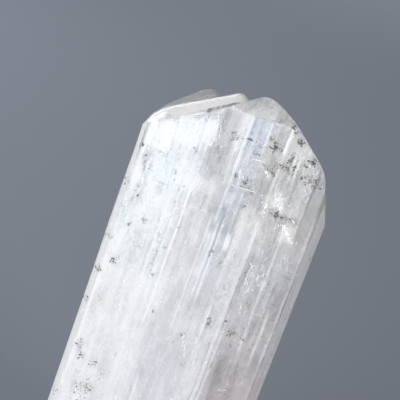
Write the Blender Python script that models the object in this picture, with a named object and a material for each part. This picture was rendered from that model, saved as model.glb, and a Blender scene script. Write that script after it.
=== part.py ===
"""A single danburite crystal: a flattened, striated prism with a gabled, stepped top, cut flat at its base.

The crystal stands along +Z with its base at Z = 0. Its widest prism face looks along -Y, and +X is to the
right as that face is seen. All sizes are in metres: a length in millimetres is written as a number times MM.
"""

import math
import random

import bmesh
import bpy
from mathutils import Matrix, Vector

MM = 0.001

# Driving dimensions
LENGTH = 62.0 * MM  # base to peak
WIDTH = 25.3 * MM  # across the broad front face and its bevels
DEPTH = 15.7 * MM  # front face to back face
BACK = 7.85 * MM
FRONT = BACK - DEPTH
SPARE = 8.0 * MM  # how far a blank or a cutter reaches past what it shapes
MERGE = 0.001 * MM  # points closer than this are one
SEEDS = {"strips": 4, "plates": 11, "pits": 23, "chips": 37}

# Prism faces in order round the crystal: the compass bearing of each face, in degrees from the front face
# and positive to the right, a point (X, Y) in millimetres that it passes through, the number of striation
# strips on it and the relief of those strips in millimetres.
PRISM_FACES = (
    ("front_left", -3.5, (-4.6, -7.8), 0, 0.0),
    ("front", 0.0, (0.0, -7.8), 0, 0.0),
    ("front_right", 2.5, (2.9, -7.8), 0, 0.0),
    ("right_front", 66.0, (12.65, -4.1), 5, 0.05),
    ("right", 95.0, (12.65, -4.1), 9, 0.10),
    ("back_right", 132.6, (8.6, 7.85), 6, 0.08),
    ("back", 180.0, (0.0, 7.85), 13, 0.12),
    ("back_left", 222.6, (-4.3, 7.85), 6, 0.08),
    ("left", 245.0, (-12.65, -6.3), 11, 0.10),
    ("left_front", 312.6, (-12.65, -6.3), 3, 0.03),
)

# Striation edges on the front of the crystal: X in millimetres, how far the next strip stands out of the
# face where it starts and what it gains by the time it ends. Both are in millimetres.
FRONT_EDGES = (
    (-10.6, 0.05, -0.02),
    (-8.9, -0.04, 0.05),
    (-7.1, -0.06, 0.03),
    (-6.4, 0.05, -0.03),
    (-5.7, -0.05, 0.02),
    (-4.5, 0.09, -0.06),
    (-3.7, -0.05, 0.04),
    (-2.3, 0.04, -0.03),
    (-1.0, 0.07, 0.02),
    (-0.5, -0.05, -0.02),
    (0.3, 0.06, 0.03),
    (1.1, -0.03, 0.04),
    (2.5, -0.09, 0.02),
    (3.4, 0.04, -0.05),
    (4.7, 0.12, -0.03),
    (5.1, -0.12, 0.02),
    (6.4, 0.05, -0.04),
    (7.3, -0.04, 0.03),
    (8.5, 0.06, -0.05),
    (9.5, -0.04, 0.02),
)

EDGE_RUN = 0.03  # width of a striation edge's slope, in millimetres
STRIP_JITTER = 0.35  # how far a strip's edge strays from even spacing, as a share of that spacing
STRIP_RUN = 0.004  # width of the slope between two strips, as a share of the face

# The termination is a few growth layers that overlap. Each is bounded by facets: a point (X, Y, Z) in
# millimetres that the facet passes through, and how far it climbs per millimetre to the right and per
# millimetre backwards. A wall is a bearing and a point (X, Y), for a side that stands upright. The rounding
# is the width in millimetres that dissolving has taken off the ridges between a layer's facets.
RIGHT_FACETS = (
    ("right_roof_upper", (1.8, -7.8, 62.15), -0.42, -0.8),
    ("right_roof_middle", (4.4, -7.8, 60.65), -0.62, -0.8),
    ("right_roof_lower", (5.4, -7.8, 59.72), -0.84, -0.5),
    ("right_shoulder", (9.6, -7.8, 56.15), -1.35, -0.3),
    ("right_steep", (12.44, -4.1, 48.8), -2.95, 0.0),
)
LEFT_SHOULDER = (
    ("left_shoulder_upper", (-11.3, -4.4, 55.15), 1.0, -0.1),
    ("left_shoulder_lower", (-12.2, -5.5, 54.0), 2.2, -0.1),
)
BAND = ("band", (-4.87, -5.5, 59.76), 0.66, 0.86)
LAYERS = {
    "crest": {
        "rounding": 0.7,
        "facets": RIGHT_FACETS
        + (
            ("crest_roof", (-5.67, -7.8, 57.71), 0.746, -0.25),
            ("peak_cap", (0.39, -7.8, 62.17), 0.03, -0.33),
            ("peak_left", (-0.44, -7.8, 61.8), 0.32, -0.3),
            ("front_chamfer", (0.0, -7.8, 59.45), 0.0, 3.6),
        ),
        "walls": ((-90.0, (-5.85, 0.0)),),
    },
    "left_block": {
        "rounding": 0.4,
        "facets": LEFT_SHOULDER
        + (
            ("block_roof", (-8.8, -7.8, 55.52), 0.29, 0.33),
            ("block_corner", (-10.9, -7.8, 54.7), 0.95, 0.33),
        ),
        "walls": ((90.0, (-8.0, 0.0)), (180.0, (0.0, -5.0))),
    },
    "ledge": {
        "rounding": 0.4,
        "facets": (("ledge_roof", (-8.8, -7.8, 55.70), 0.44, 0.33),),
        "walls": ((-90.0, (-8.55, 0.0)), (60.0, (-4.0, -7.8)), (180.0, (0.0, -5.0))),
    },
    "middle_lobe": {
        "rounding": 1.0,
        "facets": LEFT_SHOULDER
        + (
            BAND,
            ("middle_top", (-3.2, -5.5, 61.21), 0.25, 0.86),
            ("middle_end", (-2.4, -5.5, 61.41), -0.20, 0.86),
            ("middle_fall", (-0.9, -5.5, 60.85), -2.0, 0.2),
            ("middle_back", (-3.2, -5.5, 61.23), 0.55, -1.2),
            ("middle_back_right", (-2.15, -5.5, 61.35), -0.9, -1.2),
        ),
        "walls": ((0.0, (0.0, -7.2)),),
    },
    "back_lobe": {
        "rounding": 0.6,
        "facets": LEFT_SHOULDER
        + (
            BAND,
            ("back_roof", (-9.29, 1.0, 56.1), 0.60, -0.10),
            ("back_top", (-6.2, 3.0, 57.75), 0.30, -0.2),
            ("back_end", (-5.86, 6.0, 57.3), -0.75, -0.28),
            ("back_fall", (-4.2, 1.0, 57.9), -1.9, 0.1),
            ("back_chamfer", (-7.0, 7.85, 55.0), 0.1, -1.6),
        ),
        "walls": ((0.0, (0.0, -7.2)),),
    },
}
FLATTEST_WALL = 0.3  # a facet whose normal climbs less than this is a wall, and its edges stay sharp

# Thin growth plates raised on the front of the crystal: the prism face they lie on, the X of the left and
# right sides, the heights of the lower and upper ends and the thickness, all in millimetres.
FRONT_PLATES = (
    ("front_left", -9.8, -7.0, 35.8, 47.4, 0.11),
    ("front_left", -10.9, -9.95, 5.0, 27.0, 0.08),
    ("front_left", -8.3, -5.9, 3.0, 17.0, 0.09),
    ("front_left", -6.6, -4.9, 19.0, 50.0, 0.08),
    ("front", -3.7, -2.5, 27.0, 48.0, 0.09),
    ("front", -0.7, 0.9, 41.0, 58.7, 0.09),
    ("front", 1.3, 2.4, 29.0, 55.5, 0.08),
    ("front", 0.3, 2.1, 4.0, 22.0, 0.10),
    ("front_right", 3.6, 4.4, 9.0, 33.0, 0.10),
    ("front_right", 5.5, 6.3, 15.0, 46.0, 0.08),
    ("front_right", 7.5, 8.4, 24.0, 40.0, 0.10),
    ("front_right", 9.0, 10.2, 6.0, 19.0, 0.08),
)
PLATE_ROOT = 0.8  # depth of a plate's foot below the face, in millimetres

# The bevelled ends of a plate: how much their normals lean out of the face for each unit up or down, and how
# much they lean sideways on a plate of no thickness and on top of that on the thickest one
UPPER_END, LOWER_END = 1.4, 0.8
END_LEAN, THICK_END_LEAN = 0.35, 0.5

# Growth plates scattered over the other prism faces: how many on each, and in millimetres the range of their
# sizes, of where they start, how high they may end and how far they stay from the edges of the face
SCATTERED_PLATES = {"right": 5, "back_right": 3, "back": 9, "back_left": 3, "left": 7}
PLATE_WIDTH = (0.7, 2.4)
PLATE_LENGTH = (8.0, 26.0)
PLATE_THICKNESS = (0.07, 0.14)
PLATE_FOOT = (2.0, 24.0)
PLATE_TOP = 42.0
PLATE_MARGIN = 0.35
WIDEST_PLATE = 0.4  # as a share of the face

# Etch pits: how many on each face, and in millimetres the range of their half-widths and heights on the
# crystal and how far they stay from the edges of the face
SCATTERED_PITS = {
    "front_left": 4,
    "front": 4,
    "front_right": 6,
    "right": 4,
    "back_right": 2,
    "back": 8,
    "back_left": 3,
    "left": 6,
}
PIT_RADIUS = (0.18, 0.5)
PIT_STRETCH = (1.0, 3.2)  # height of a pit over its width
PIT_HEIGHTS = (3.0, 42.0)
PIT_MARGIN = 1.0
PIT_STANDOFF = 0.55  # how far outside the face the middle of a pit's cutter lies, over its half-width

# Chips along the edges of the base: how many, their half-widths in millimetres, where along an edge they may
# be, and where the middle of a chip's cutter lies: its distance from the axis over the edge's, and its drop
# below the base over its half-width
CHIPS = 9
CHIP_RADIUS = (0.5, 1.3)
CHIP_STRETCH = 0.8  # height of a chip over its width
CHIP_PLACE = (0.15, 0.85)
CHIP_REACH = 1.02
CHIP_DROP = 0.25

# The rough balls that take out the pits and chips: how far in or out a corner may be, over the half-width,
# and how far they may tilt, in radians
LUMP_CORNERS = (0.75, 1.2)
LUMP_TILT = 0.15


def facet_plane(point, climb_right, climb_back):
    """The point in metres and the outward normal of a facet."""
    return Vector(point) * MM, Vector((-climb_right, -climb_back, 1.0)).normalized()


def cut(bm, point, normal):
    """Slices off what lies on the normal's side of a plane and closes the cut."""
    geometry = bm.verts[:] + bm.edges[:] + bm.faces[:]
    sliced = bmesh.ops.bisect_plane(
        bm, geom=geometry, dist=MERGE / 10, plane_co=point, plane_no=normal, clear_outer=True
    )
    edges = [e for e in sliced["geom_cut"] if isinstance(e, bmesh.types.BMEdge)]
    bmesh.ops.holes_fill(bm, edges=edges, sides=0)
    bmesh.ops.recalc_face_normals(bm, faces=bm.faces)


def bearing(angle):
    """The horizontal direction of a bearing in degrees from the front face, positive to the right."""
    return Vector((math.sin(math.radians(angle)), -math.cos(math.radians(angle))))


def prism_corners():
    """The corner between each prism face and the next, in metres."""
    corners = []
    for here, after in zip(PRISM_FACES, PRISM_FACES[1:] + PRISM_FACES[:1]):
        first, second = bearing(here[1]), bearing(after[1])
        reach_first = first.dot(Vector(here[2])) * MM
        reach_second = second.dot(Vector(after[2])) * MM
        span = first.cross(second)
        corners.append(
            Vector(
                (
                    (reach_first * second.y - reach_second * first.y) / span,
                    (reach_second * first.x - reach_first * second.x) / span,
                )
            )
        )
    return corners


def on_face(name, across, height, sink=0.0):
    """A frame on a prism face, in millimetres: X runs right along the face, Y into the crystal and Z up."""
    angle, point = next((face[1], face[2]) for face in PRISM_FACES if face[0] == name)
    outward = bearing(angle)
    along = Vector((-outward.y, outward.x))
    spot = outward * (outward.dot(Vector(point)) - sink) + along * across
    turn = Matrix((along.to_3d(), -outward.to_3d(), Vector((0, 0, 1)))).transposed()
    return Matrix.Translation((spot.x * MM, spot.y * MM, height * MM)) @ turn.to_4x4()


def face_span(name):
    """How far a prism face reaches either way along its own X, in millimetres."""
    index = next(i for i, face in enumerate(PRISM_FACES) if face[0] == name)
    corners = prism_corners()
    back_to_face = on_face(name, 0, 0).inverted()
    ends = (back_to_face @ corners[index - 1].to_3d(), back_to_face @ corners[index].to_3d())
    return ends[0].x / MM, ends[1].x / MM


def striated(start, end, strips, relief, rng):
    """Points from one corner to the next along a face broken into strips of uneven width and height."""
    if not strips:
        return [start]
    along = end - start
    outward = Vector((along.y, -along.x)).normalized()
    breaks = sorted((i + rng.uniform(-STRIP_JITTER, STRIP_JITTER)) / strips for i in range(1, strips))
    points = [start]
    for share in breaks:
        low, high = rng.uniform(-relief, 0) * MM, rng.uniform(-relief, 0) * MM
        points.append(start + along * share + outward * low)
        points.append(start + along * (share + STRIP_RUN) + outward * high)
    return points


def front_points(corners):
    """Points across the front faces, left to right, with a step at each striation edge."""
    left_kink, right_kink = corners[0], corners[1]
    left_end, right_end = corners[-1], corners[2]

    def face_y(x):
        for a, b in ((left_end, left_kink), (left_kink, right_kink), (right_kink, right_end)):
            if x <= b.x:
                break
        return a.y + (b.y - a.y) * (x - a.x) / (b.x - a.x)

    points, rise = [left_end], 0.0
    for x, step, gain in FRONT_EDGES:
        foot, top = x * MM, (x + EDGE_RUN) * MM
        points.append(Vector((foot, face_y(foot) - rise * MM)))
        points.append(Vector((top, face_y(top) - step * MM)))
        rise = step + gain
    return points


def outline():
    """The striated outline of the prism, anticlockwise from above."""
    rng = random.Random(SEEDS["strips"])
    corners = prism_corners()
    points = front_points(corners)
    for i, (_, _, _, strips, relief) in enumerate(PRISM_FACES[3:], start=3):
        points += striated(corners[i - 1], corners[i], strips, relief, rng)
    return points


def prism_mesh():
    """The striated prism as a mesh, from below the base to above the peak."""
    curve = bpy.data.curves.new("prism_outline", "CURVE")
    curve.dimensions = "2D"
    curve.fill_mode = "BOTH"
    curve.extrude = LENGTH / 2 + SPARE
    points = outline()
    spline = curve.splines.new("POLY")
    spline.points.add(len(points) - 1)
    for spot, point in zip(spline.points, points):
        spot.co = (point.x, point.y, 0.0, 1.0)
    spline.use_cyclic_u = True
    guide = bpy.data.objects.new("prism_outline", curve)
    bpy.context.scene.collection.objects.link(guide)
    bpy.context.view_layer.update()
    graph = bpy.context.evaluated_depsgraph_get()
    mesh = bpy.data.meshes.new_from_object(guide.evaluated_get(graph))
    bpy.data.objects.remove(guide)
    mesh.transform(Matrix.Translation((0, 0, LENGTH / 2)))
    return mesh


def block(low, high):
    """A bmesh box between two corners, in metres."""
    bm = bmesh.new()
    bmesh.ops.create_cube(bm, size=1.0)
    size = Vector(high) - Vector(low)
    middle = (Vector(high) + Vector(low)) / 2
    bmesh.ops.scale(bm, vec=size, verts=bm.verts)
    bmesh.ops.translate(bm, vec=middle, verts=bm.verts)
    return bm


def finish(bm, name, collection):
    """Turns a bmesh into an object of a collection."""
    mesh = bpy.data.meshes.new(name)
    bm.to_mesh(mesh)
    bm.free()
    obj = bpy.data.objects.new(name, mesh)
    collection.objects.link(obj)
    return obj


def make_body(collection):
    """The striated prism above its flat base."""
    bm = bmesh.new()
    bm.from_mesh(prism_mesh())
    bmesh.ops.remove_doubles(bm, verts=bm.verts, dist=MERGE)
    cut(bm, Vector((0, 0, 0)), Vector((0, 0, -1)))
    return finish(bm, "danburite_crystal", collection)


def bevel_ridges(bm, width):
    """Cuts a bevel of the given width along each ridge between the facets on top of a growth layer."""
    bevels = []
    for edge in bm.edges:
        first, second = (face.normal for face in edge.link_faces)
        if min(first.z, second.z) > FLATTEST_WALL:
            normal = (first + second).normalized()
            depth = width / 2 * math.tan(first.angle(second) / 2)
            bevels.append((edge.verts[0].co - normal * depth, normal))
    for point, normal in bevels:
        cut(bm, point, normal)


def make_layer(name, layer, collection):
    """A block wider than the prism, cut by the facets and walls of one growth layer."""
    bm = block(
        (-WIDTH / 2 - SPARE, FRONT - SPARE, -SPARE),
        (WIDTH / 2 + SPARE, BACK + SPARE, LENGTH + SPARE),
    )
    for _, point, climb_right, climb_back in layer["facets"]:
        cut(bm, *facet_plane(point, climb_right, climb_back))
    for angle, (x, y) in layer["walls"]:
        cut(bm, Vector((x * MM, y * MM, 0)), bearing(angle).to_3d())
    bevel_ridges(bm, layer["rounding"] * MM)
    bevel_ridges(bm, layer["rounding"] * MM / 2)
    return finish(bm, name, collection)


def make_plate(name, face, across, heights, thickness, collection):
    """A growth plate with bevelled ends, standing a little out of a prism face."""
    bm = block(
        (across[0] * MM, -thickness * MM, heights[0] * MM),
        (across[1] * MM, PLATE_ROOT * MM, heights[1] * MM),
    )
    middle = (across[0] + across[1]) / 2 * MM
    lean = END_LEAN + THICK_END_LEAN * thickness / PLATE_THICKNESS[1]
    cut(bm, Vector((middle, 0, heights[1] * MM)), Vector((lean, -UPPER_END, 1.0)).normalized())
    cut(bm, Vector((middle, 0, heights[0] * MM)), Vector((-lean, -LOWER_END, -1.0)).normalized())
    bm.transform(on_face(face, 0, 0))
    return finish(bm, name, collection)


def make_front_plates(collection):
    for i, (face, left, right, low, high, thickness) in enumerate(FRONT_PLATES):
        offset = on_face(face, 0, 0).translation.x / MM
        across = (left - offset, right - offset)
        make_plate(f"front_plate_{i}", face, across, (low, high), thickness, collection)


def make_scattered_plates(collection):
    rng = random.Random(SEEDS["plates"])
    for face, count in SCATTERED_PLATES.items():
        low, high = face_span(face)
        for i in range(count):
            width = min(rng.uniform(*PLATE_WIDTH), WIDEST_PLATE * (high - low))
            room = high - low - width - 2 * PLATE_MARGIN
            left = low + PLATE_MARGIN + room * (i + rng.random()) / count
            foot = rng.uniform(*PLATE_FOOT)
            length = min(rng.uniform(*PLATE_LENGTH), PLATE_TOP - foot)
            make_plate(
                f"{face}_plate_{i}",
                face,
                (left, left + width),
                (foot, foot + length),
                rng.uniform(*PLATE_THICKNESS),
                collection,
            )


def make_lump(name, radius, stretch, matrix, rng, collection):
    """A rough faceted ball, used to take a pit or a chip out of the crystal."""
    bm = bmesh.new()
    bmesh.ops.create_icosphere(bm, subdivisions=1, radius=radius * MM)
    for vert in bm.verts:
        vert.co *= rng.uniform(*LUMP_CORNERS)
    bmesh.ops.scale(bm, vec=(1.0, 1.0, stretch), verts=bm.verts)
    bm.transform(matrix @ Matrix.Rotation(rng.uniform(-LUMP_TILT, LUMP_TILT), 4, "Y"))
    return finish(bm, name, collection)


def make_pits(collection):
    rng = random.Random(SEEDS["pits"])
    for face, count in SCATTERED_PITS.items():
        low, high = face_span(face)
        for i in range(count):
            radius = rng.uniform(*PIT_RADIUS)
            across = rng.uniform(low + PIT_MARGIN, high - PIT_MARGIN)
            height = rng.uniform(*PIT_HEIGHTS)
            spot = on_face(face, across, height, -PIT_STANDOFF * radius)
            make_lump(f"{face}_pit_{i}", radius, rng.uniform(*PIT_STRETCH), spot, rng, collection)


def make_chips(collection):
    """Chips along the lower edges, where the crystal was parted from its rock."""
    rng = random.Random(SEEDS["chips"])
    corners = prism_corners()
    for i in range(CHIPS):
        start, end = corners[i - 1], corners[i]
        radius = rng.uniform(*CHIP_RADIUS)
        spot = start.lerp(end, rng.uniform(*CHIP_PLACE)) * CHIP_REACH
        matrix = Matrix.Translation((spot.x, spot.y, -CHIP_DROP * radius * MM))
        make_lump(f"base_chip_{i}", radius, CHIP_STRETCH, matrix, rng, collection)


def hide_helpers(collection):
    for obj in collection.objects:
        obj.hide_render = True
        obj.display_type = "WIRE"


def boolean(obj, name, operation, operand):
    """Adds a Boolean modifier with an object, or with every object of a collection, as its operand."""
    modifier = obj.modifiers.new(name, "BOOLEAN")
    modifier.operation = operation
    modifier.solver = "EXACT"
    if isinstance(operand, bpy.types.Collection):
        modifier.operand_type = "COLLECTION"
        modifier.collection = operand
    else:
        modifier.object = operand


def crystal_material():
    material = bpy.data.materials.new("danburite")
    material.use_nodes = True
    shader = material.node_tree.nodes["Principled BSDF"]
    shader.inputs["Base Color"].default_value = (0.86, 0.86, 0.88, 1.0)
    shader.inputs["Roughness"].default_value = 0.18
    shader.inputs["IOR"].default_value = 1.633
    shader.inputs["Transmission Weight"].default_value = 0.5
    return material


def new_collection(name):
    collection = bpy.data.collections.new(name)
    bpy.context.scene.collection.children.link(collection)
    return collection


def main():
    for obj in list(bpy.data.objects):
        bpy.data.objects.remove(obj)
    crystal, growths, plates, cutters = map(
        new_collection, ("danburite_crystal", "growth_layers", "growth_plates", "cutters")
    )
    body = make_body(crystal)
    body.data.materials.append(crystal_material())
    layers = [make_layer(name, layer, growths) for name, layer in LAYERS.items()]
    crest = layers[0]
    for layer in layers[1:]:
        boolean(crest, "join " + layer.name, "UNION", layer)
    make_front_plates(plates)
    make_scattered_plates(plates)
    make_pits(cutters)
    make_chips(cutters)
    boolean(body, "terminate", "INTERSECT", crest)
    boolean(body, "join plates", "UNION", plates)
    boolean(body, "cut pits", "DIFFERENCE", cutters)
    for helpers in (growths, plates, cutters):
        hide_helpers(helpers)


main()
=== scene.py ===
"""Looks of the danburite crystal: its striated surface, clear and milky zones, fractures and grains."""

import math
import random

import bmesh
import bpy
import numpy as np
from mathutils import Matrix, Vector
from mathutils.bvhtree import BVHTree


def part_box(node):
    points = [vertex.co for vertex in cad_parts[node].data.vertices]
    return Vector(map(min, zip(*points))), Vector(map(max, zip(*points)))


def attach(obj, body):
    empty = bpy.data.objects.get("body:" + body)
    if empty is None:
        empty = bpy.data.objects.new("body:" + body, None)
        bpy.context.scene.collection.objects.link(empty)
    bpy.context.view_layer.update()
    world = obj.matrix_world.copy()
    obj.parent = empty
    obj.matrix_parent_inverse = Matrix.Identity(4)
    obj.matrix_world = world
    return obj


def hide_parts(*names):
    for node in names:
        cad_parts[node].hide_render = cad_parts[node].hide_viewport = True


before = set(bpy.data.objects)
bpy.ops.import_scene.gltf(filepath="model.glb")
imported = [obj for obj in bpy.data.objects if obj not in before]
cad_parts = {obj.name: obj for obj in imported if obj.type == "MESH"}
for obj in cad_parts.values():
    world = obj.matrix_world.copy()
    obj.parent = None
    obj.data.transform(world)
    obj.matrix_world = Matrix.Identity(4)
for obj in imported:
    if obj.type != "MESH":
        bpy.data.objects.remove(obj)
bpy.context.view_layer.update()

MM = 0.001
CRYSTAL = "danburite_crystal"
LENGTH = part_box(CRYSTAL)[1].z / MM
FRONT_Y = -7.8 * MM
SPARE = 8.0  # how far the uncut prism and the layers' blocks reach past the crystal, in millimetres
BLOCK_WIDTH, BLOCK_DEPTH = 26.0, 16.0  # of a layer's block without the spare, in millimetres
IOR = 1.633

# Camera: what it looks at on the front face, its distance, how far it looks down and how it is rolled
IMAGE_PX = 400
TARGET = Vector((-2.92, -7.8, 47.1)) * MM
DISTANCE = 200 * MM
ELEVATION = math.radians(18.0)
ROLL = math.radians(20.0)
PX_PER_MM = 8.24  # at the target
SENSOR = 36.0

# The studio, in metres and watts: each softbox's place, what it aims at, its size, power and colour
SKY_COLOUR, SKY_STRENGTH = (0.73, 0.73, 0.77, 1.0), 0.22
MIDDLE = (0, 0, 0.045)
SOFTBOXES = {
    "key": ((-0.24, -0.36, 0.10), MIDDLE, (0.24, 0.20), 1.5, (1.0, 0.985, 0.965)),
    "fill": ((0.34, -0.32, 0.16), MIDDLE, (0.25, 0.20), 0.96, (1.0, 0.95, 0.93)),
    "back": ((-0.22, 0.22, 0.22), (0, 0, 0.06), (0.20, 0.20), 0.43, (1.0, 0.99, 0.98)),
    "backdrop": ((0.0, 0.55, 0.25), (0, 0.55, 0), (0.20, 0.20), 0.36, (1.0, 0.99, 0.98)),
    "sheen": ((0.0, -0.108, 0.027), (0, 0, 0.05), (0.065, 0.022), 0.0175, (0.75, 0.85, 1.0)),
}
FLOOR_COLOUR, FLOOR_ROUGHNESS = (0.312, 0.351, 0.424, 1.0), 0.85
FLOOR_RINGS = ((0.0, 0.0), (0.9, 0.0), (1.3, 0.03), (1.6, 0.14), (1.8, 0.35), (1.9, 0.7), (1.9, 1.4))
FLOOR_SEGMENTS = 64

# The prism faces in order round the crystal, in the CAD model's terms: the compass bearing in degrees from
# the front face, a point (X, Y) in millimetres on the face, and the spacing of the mesh columns along it.
FINE, COARSE = 0.09, 0.24
PRISM_FACES = (
    ("front_left", -3.5, (-4.6, -7.8), FINE),
    ("front", 0.0, (0.0, -7.8), FINE),
    ("front_right", 2.5, (2.9, -7.8), FINE),
    ("right_front", 66.0, (12.65, -4.1), FINE),
    ("right", 95.0, (12.65, -4.1), COARSE),
    ("back_right", 132.6, (8.6, 7.85), COARSE),
    ("back", 180.0, (0.0, 7.85), COARSE),
    ("back_left", 222.6, (-4.3, 7.85), COARSE),
    ("left", 245.0, (-12.65, -6.3), COARSE),
    ("left_front", 312.6, (-12.65, -6.3), FINE),
)
LOWER_ROW, UPPER_ROW, UPPER_FOOT = 0.75, 0.36, 30.0  # height of the mesh rows, and where the upper ones start
END_GAP, CROWDED = 0.06, 0.15  # from a plate's end to the two rows that mark it, and the space they need
CORNER_RADIUS = 0.30
EDGE_ROUNDING, SHARP_EDGE = 0.13, math.radians(14)
UPRIGHT = 0.2  # a face whose normal climbs less than this belongs to the prism's sides

# Random growth lines on a face, by its mesh spacing, broad ones and then narrow ones: how many per
# millimetre of its width, the ranges of their widths and heights, and their soft edges, in millimetres
GROWTH_LINES = {
    FINE: ((1.2, (0.8, 3.0), (0.01, 0.025), 0.35), (4, (0.15, 0.5), (0.003, 0.010), 0.22)),
    COARSE: ((1.2, (0.8, 3.0), (0.03, 0.07), 0.4), (2, (0.3, 0.9), (0.01, 0.035), 0.4)),
}
GROWTH_REACH, GROWTH_OVERLAP = (6, 60), 4  # how long the lines are, and how far past the ends they start
GROWTH_END = 2.5  # soft ends of a growth line, along Z
STRIP_MILK = 0.05  # the most that a growth line is milkier or clearer than its face
CORNER_FADE = 0.3  # within this distance of a corner the relief fades out
# How the growth lines wander sideways with height: millimetres, radians per millimetre and phase
WOBBLE = ((0.03, 0.7, 0), (0.012, 2.3, 1), (0.008, 5.1, 2))

# The growth layers of the termination, in the CAD model's terms: each facet is a point (X, Y, Z) in
# millimetres and how far it climbs per millimetre to the right and backwards; each wall is a bearing and a
# point (X, Y). The rounding is the width in millimetres taken off the ridges between a layer's facets. The
# band is the slope behind the front edge, which two of the layers share.
RIGHT_FACETS = (
    ("right_roof_upper", (1.8, -7.8, 62.15), -0.42, -0.8),
    ("right_roof_middle", (4.4, -7.8, 60.65), -0.62, -0.8),
    ("right_roof_lower", (5.4, -7.8, 59.72), -0.84, -0.5),
    ("right_shoulder", (9.6, -7.8, 56.15), -1.35, -0.3),
    ("right_steep", (12.44, -4.1, 48.8), -2.95, 0.0),
)
LEFT_SHOULDER = (
    ("left_shoulder_upper", (-11.3, -4.4, 55.15), 1.0, -0.1),
    ("left_shoulder_lower", (-12.2, -5.5, 54.0), 2.2, -0.1),
)
BAND = ("band", (-4.87, -5.5, 59.76), 0.66, 0.86)
LAYERS = {
    "crest": {
        "rounding": 0.7,
        "facets": RIGHT_FACETS
        + (
            ("crest_roof", (-5.67, -7.8, 57.71), 0.746, -0.25),
            ("peak_cap", (0.39, -7.8, 62.17), 0.03, -0.33),
            ("peak_left", (-0.44, -7.8, 61.8), 0.32, -0.3),
            ("front_chamfer", (0.0, -7.8, 59.45), 0.0, 3.6),
        ),
        "walls": ((-90.0, (-5.85, 0.0)),),
    },
    "left_block": {
        "rounding": 0.4,
        "facets": LEFT_SHOULDER
        + (
            ("block_roof", (-8.8, -7.8, 55.52), 0.29, 0.33),
            ("block_corner", (-10.9, -7.8, 54.7), 0.95, 0.33),
        ),
        "walls": ((90.0, (-8.0, 0.0)), (180.0, (0.0, -5.0))),
    },
    "ledge": {
        "rounding": 0.4,
        "facets": (("ledge_roof", (-8.8, -7.8, 55.70), 0.44, 0.33),),
        "walls": ((-90.0, (-8.55, 0.0)), (60.0, (-4.0, -7.8)), (180.0, (0.0, -5.0))),
    },
    "middle_lobe": {
        "rounding": 1.0,
        "facets": LEFT_SHOULDER
        + (
            BAND,
            ("middle_top", (-3.2, -5.5, 61.21), 0.25, 0.86),
            ("middle_end", (-2.4, -5.5, 61.41), -0.20, 0.86),
            ("middle_fall", (-0.9, -5.5, 60.85), -2.0, 0.2),
            ("middle_back", (-3.2, -5.5, 61.23), 0.55, -1.2),
            ("middle_back_right", (-2.15, -5.5, 61.35), -0.9, -1.2),
        ),
        "walls": ((0.0, (0.0, -7.2)),),
    },
    "back_lobe": {
        "rounding": 0.6,
        "facets": LEFT_SHOULDER
        + (
            BAND,
            ("back_roof", (-9.29, 1.0, 56.1), 0.60, -0.10),
            ("back_top", (-6.2, 3.0, 57.75), 0.30, -0.2),
            ("back_end", (-5.86, 6.0, 57.3), -0.75, -0.28),
            ("back_fall", (-4.2, 1.0, 57.9), -1.9, 0.1),
            ("back_chamfer", (-7.0, 7.85, 55.0), 0.1, -1.6),
        ),
        "walls": ((0.0, (0.0, -7.2)),),
    },
}
FLATTEST_WALL = 0.3  # a facet whose normal climbs less than this is a wall, and its edges stay sharp

# Growth steps across the front, in the CAD model's terms: X, the height of the next strip where it starts and
# what it gains by the time it ends, all in millimetres.
FRONT_EDGES = (
    (-10.6, 0.05, -0.02),
    (-8.9, -0.04, 0.05),
    (-7.1, -0.06, 0.03),
    (-6.4, 0.05, -0.03),
    (-5.7, -0.05, 0.02),
    (-4.5, 0.05, -0.03),
    (-3.7, -0.05, 0.04),
    (-2.3, 0.04, -0.03),
    (-1.0, 0.04, 0.01),
    (-0.5, -0.02, 0.0),
    (0.3, 0.02, 0.0),
    (1.1, 0.0, 0.01),
    (2.5, -0.02, 0.02),
    (3.4, 0.04, -0.05),
    (4.7, 0.015, 0.0),
    (5.1, -0.03, 0.01),
    (6.4, 0.05, -0.04),
    (7.3, -0.04, 0.03),
    (8.5, 0.06, -0.05),
    (9.5, -0.04, 0.02),
)

# The share of a growth step's height that this mesh has, its soft edges, and the front's ends with their fade
STEP_SHARE, STEP_SOFT = 0.5, 0.3
FRONT_LEFT, FRONT_RIGHT, FRONT_FADE = -11.3, 10.9, 0.4

# Growth plates on the front: X of the left and right sides, heights of the lower and upper ends, the height
# of the plate above the face and how far its right side stands out past its left, all in millimetres.
PLATE_SOFT_X, PLATE_SOFT_Z = 0.2, 0.12
FRONT_PLATES = (
    (-9.8, -7.0, 35.8, 47.4, 0.04, 0.02),
    (-6.6, -4.9, 19.0, 50.0, 0.05, -0.03),
    (-3.7, -2.5, 27.0, 48.0, 0.05, 0.02),
    (-0.6, 0.05, 40.0, 59.3, 0.015, 0.0),
    (0.25, 2.3, 50.5, 59.3, 0.02, 0.01),
    (1.3, 1.9, 41.0, 50.0, 0.05, 0.02),
    (0.3, 2.1, 4.0, 22.0, 0.06, -0.02),
    (3.6, 4.4, 9.0, 33.0, 0.06, 0.02),
    (5.5, 6.3, 15.0, 46.0, 0.05, -0.02),
    (7.5, 8.4, 24.0, 40.0, 0.06, 0.03),
    (9.0, 10.2, 6.0, 19.0, 0.05, -0.03),
    (-10.9, -9.9, 5.0, 27.0, 0.05, 0.02),
    (-8.3, -5.9, 3.0, 17.0, 0.06, -0.02),
)

# How the look of the front varies. Each zone is a rectangle: X left and right, Z low and high, the width of
# its soft edges along X and along Z, all in millimetres, and what it adds. Milk is how white and closed the
# crystal is, a stain or painted tint is what it does to red, green and blue, and detail is how strongly it is
# mottled. Milk and tint are partly painted light. The faces behind the front have no milk zones: they are
# milkier than the base by ELSEWHERE_MILK all over.
BASE_MILK, BASE_DETAIL, LEAST_DETAIL = 0.66, 0.14, 0.03
ELSEWHERE_MILK = 0.20
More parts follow.
